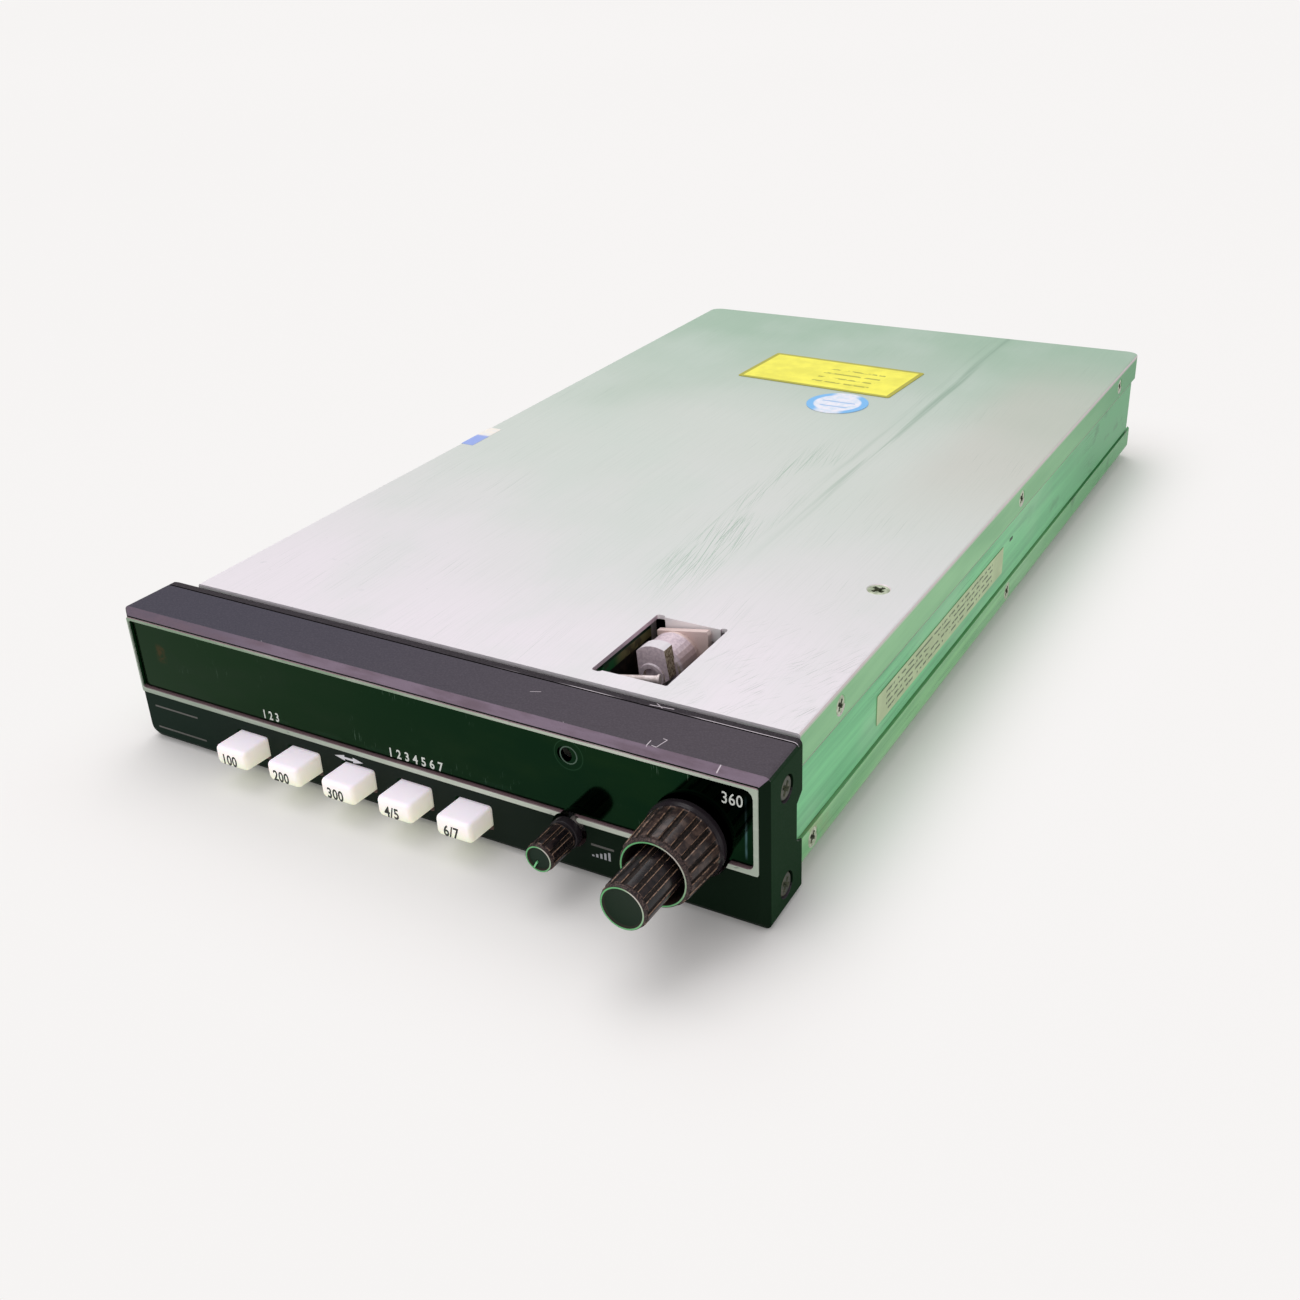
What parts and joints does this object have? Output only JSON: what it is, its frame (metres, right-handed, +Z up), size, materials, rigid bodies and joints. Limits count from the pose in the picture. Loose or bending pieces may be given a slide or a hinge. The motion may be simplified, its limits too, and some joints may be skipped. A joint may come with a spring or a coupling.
{
  "type": "panel-mounted aircraft radio receiver",
  "caption": "Long flat aluminium chassis behind a wide black bezel with a dark display, white push keys, a small volume knob and a dual concentric tuning knob.",
  "frame": {"origin": "centre of the base of the whole object's box, level with the bezel's lower edge", "axes": "+X to the right seen from the front, -Y out of the front panel, +Z up"},
  "size_m": [0.1588, 0.3, 0.0336],
  "materials": {
    "bezel_black": "satin black paint, worn at the edges",
    "trim_pale": "satin pale grey-green",
    "lens_dark": "glossy dark green",
    "key_white": "satin translucent white",
    "knob_black": "satin black, brown wear on the ribs",
    "sheet_metal": "brushed, fine scratches",
    "rail_metal": "satin, green cast",
    "cast_metal": "rough cast",
    "pin_steel": "polished",
    "screw_steel": "plated",
    "board_green": "satin",
    "moulded_block": "matt",
    "shield_can": "tinned",
    "winding_amber": "varnished",
    "capacitor_sleeve": "glossy sleeve",
    "label_yellow": "satin yellow",
    "sticker_blue": "satin blue and white",
    "label_paper": "matt pale",
    "display_glass": "clear over black",
    "connector_body": "satin green",
    "brass": "satin"
  },
  "bodies": {
    "receiver": {"aerial_connector": "brass", "bezel": "bezel_black", "bezel_screw_left_1": "screw_steel", "bezel_screw_left_2": "screw_steel", "bezel_screw_right_1": "screw_steel", "bezel_screw_right_2": "screw_steel", "bottom_cover": "sheet_metal", "cover_screw": "screw_steel", "data_label": "label_yellow", "display_lens": "lens_dark", "display_trim": "trim_pale", "display_trim_middle": "trim_pale", "display_tube": "display_glass", "filter_capacitor": "capacitor_sleeve", "front_plate": "sheet_metal", "key_switch_1": "moulded_block", "key_switch_2": "moulded_block", "key_switch_3": "moulded_block", "key_switch_4": "moulded_block", "key_switch_5": "moulded_block", "latch_bracket": "sheet_metal", "latch_cross_pin": "pin_steel", "left_rail": "rail_metal", "lower_screw_left_1": "screw_steel", "lower_screw_left_2": "screw_steel", "lower_screw_right_1": "screw_steel", "lower_screw_right_2": "screw_steel", "main_board": "board_green", "power_transformer": "winding_amber", "rear_connector": "connector_body", "rear_panel": "sheet_metal", "rf_shield": "shield_can", "right_rail": "rail_metal", "round_sticker": "sticker_blue", "side_label": "label_paper", "switch_board": "board_green", "top_cover": "sheet_metal", "tuning_encoder": "moulded_block", "upper_screw_left_1": "screw_steel", "upper_screw_left_2": "screw_steel", "upper_screw_left_3": "screw_steel", "upper_screw_right_1": "screw_steel", "upper_screw_right_2": "screw_steel", "upper_screw_right_3": "screw_steel", "volume_control": "moulded_block"},
    "adf_key": {"key_adf": "key_white"},
    "bfo_key": {"key_bfo": "key_white"},
    "frq_key": {"key_frq": "key_white"},
    "flt_et_key": {"key_flt_et": "key_white"},
    "set_rst_key": {"key_set_rst": "key_white"},
    "volume": {"volume_knob": "knob_black", "volume_shaft": "pin_steel"},
    "outer_tuning": {"outer_tuning_knob": "knob_black", "outer_tuning_shaft": "pin_steel"},
    "tuning_rotor": {"encoder_rotor": "brass"},
    "inner_tuning": {"inner_tuning_knob": "knob_black", "inner_tuning_shaft": "pin_steel"},
    "locking_paw": {"latch_paw": "cast_metal", "latch_shaft": "pin_steel"}
  },
  "joints": [
    {"name": "adf_key_press", "type": "slide", "parent": "receiver", "child": "adf_key", "axis": [0, 1, 0], "range_m": [0, 0.0012], "stiffness_N_per_m": 400, "springref_m": -0.0012},
    {"name": "bfo_key_press", "type": "slide", "parent": "receiver", "child": "bfo_key", "axis": [0, 1, 0], "range_m": [0, 0.0012], "stiffness_N_per_m": 400, "springref_m": -0.0012},
    {"name": "frq_key_press", "type": "slide", "parent": "receiver", "child": "frq_key", "axis": [0, 1, 0], "range_m": [0, 0.0012], "stiffness_N_per_m": 400, "springref_m": -0.0012},
    {"name": "flt_et_key_press", "type": "slide", "parent": "receiver", "child": "flt_et_key", "axis": [0, 1, 0], "range_m": [0, 0.0012], "stiffness_N_per_m": 400, "springref_m": -0.0012},
    {"name": "set_rst_key_press", "type": "slide", "parent": "receiver", "child": "set_rst_key", "axis": [0, 1, 0], "range_m": [0, 0.0012], "stiffness_N_per_m": 400, "springref_m": -0.0012},
    {"name": "volume_turn", "type": "hinge", "parent": "receiver", "child": "volume", "pos_m": [0.0371, -0.1315, 0.0099], "axis": [0, 1, 0], "range_deg": [0, 300]},
    {"name": "outer_tuning_turn", "type": "hinge", "parent": "receiver", "child": "outer_tuning", "pos_m": [0.0633, -0.1325, 0.0166], "axis": [0, 1, 0], "continuous": true},
    {"name": "inner_tuning_turn", "type": "hinge", "parent": "receiver", "child": "tuning_rotor", "pos_m": [0.0633, -0.1077, 0.0166], "axis": [0, 1, 0], "continuous": true},
    {"name": "inner_tuning_pull", "type": "slide", "parent": "tuning_rotor", "child": "inner_tuning", "axis": [0, -1, 0], "range_m": [0, 0.003]},
    {"name": "locking_paw_turn", "type": "hinge", "parent": "receiver", "child": "locking_paw", "pos_m": [0.0371, -0.0875, 0.0267], "axis": [0, -1, 0], "range_deg": [0, 80]}
  ]
}
